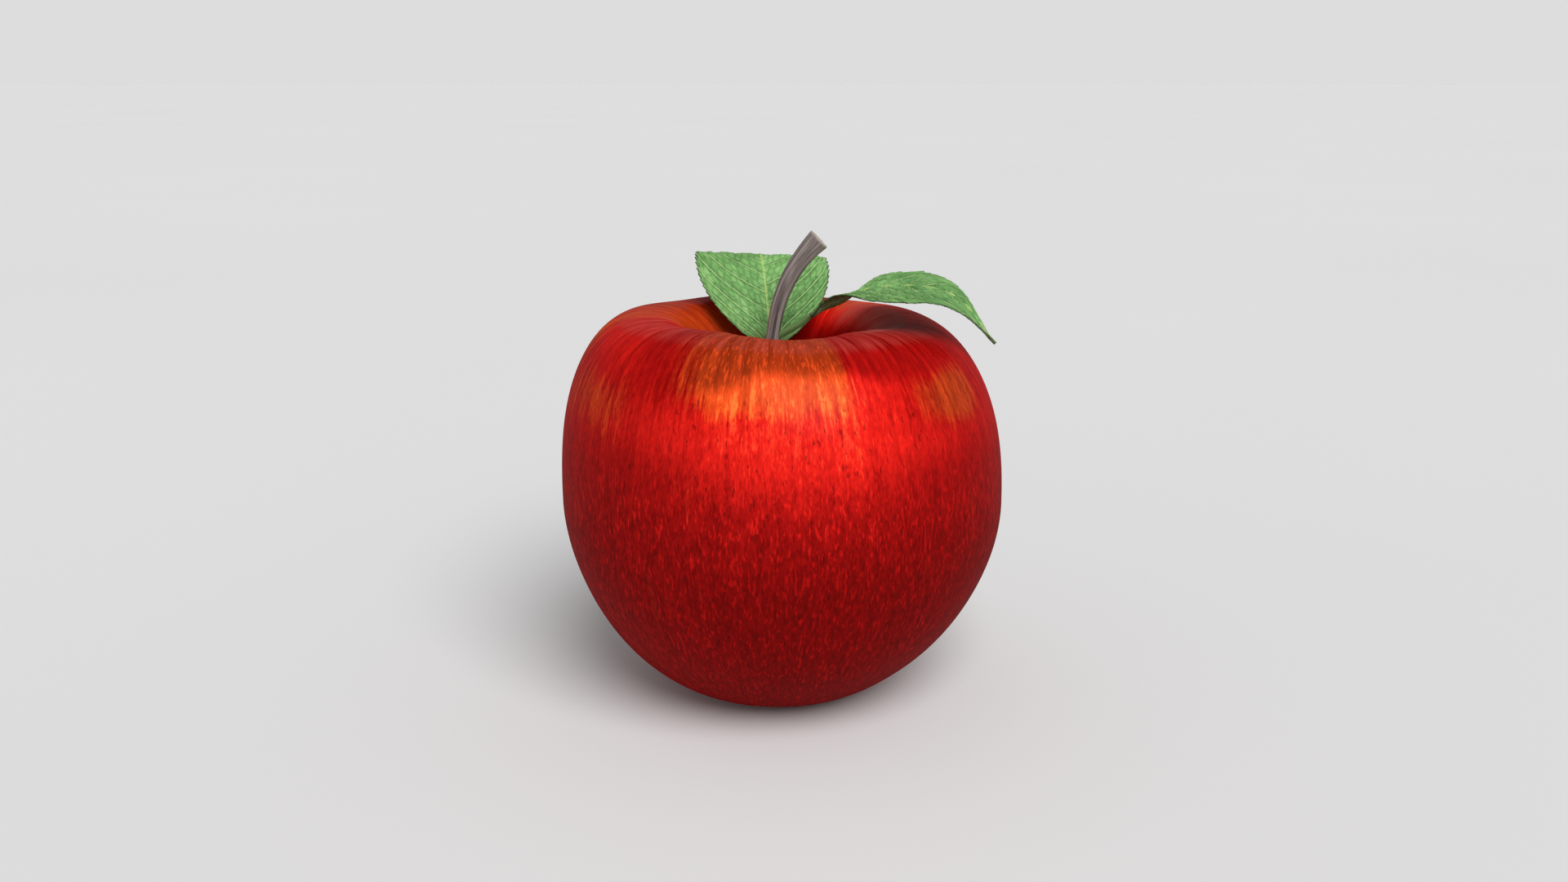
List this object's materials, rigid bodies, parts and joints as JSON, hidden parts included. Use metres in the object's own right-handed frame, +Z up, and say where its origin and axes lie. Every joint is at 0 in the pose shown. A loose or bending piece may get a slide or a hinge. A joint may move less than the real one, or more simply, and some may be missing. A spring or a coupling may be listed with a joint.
{
  "type": "apple with stem and leaves",
  "caption": "Round red apple with a deep stalk cavity, a bent woody stem, toothed green leaves and a dried calyx in the basin it rests around.",
  "frame": {"origin": "middle of the fruit's outline on the plane that the fruit rests on", "axes": "+Z up along the core towards the stem, +X towards the leaf that arches out, +Y towards the back leaf, away from the viewer"},
  "size_m": [0.076, 0.076, 0.0796],
  "materials": {
    "skin": "waxy semi-gloss red skin with orange ground patches, fine streaks and small pale lenticels",
    "bark": "dry grey-brown bark with long grooves and a paler cut end",
    "leaf": "satin green leaf with raised paler veins and a toothed edge",
    "calyx": "dry matt brown sepals and stamens"
  },
  "bodies": {
    "root": {"fruit": "skin", "stem": "bark", "leaf_right": "leaf", "leaf_back": "leaf", "sepal_1": "calyx", "sepal_2": "calyx", "sepal_3": "calyx", "sepal_4": "calyx", "sepal_5": "calyx", "stamen_tuft": "calyx"}
  },
  "joints": []
}
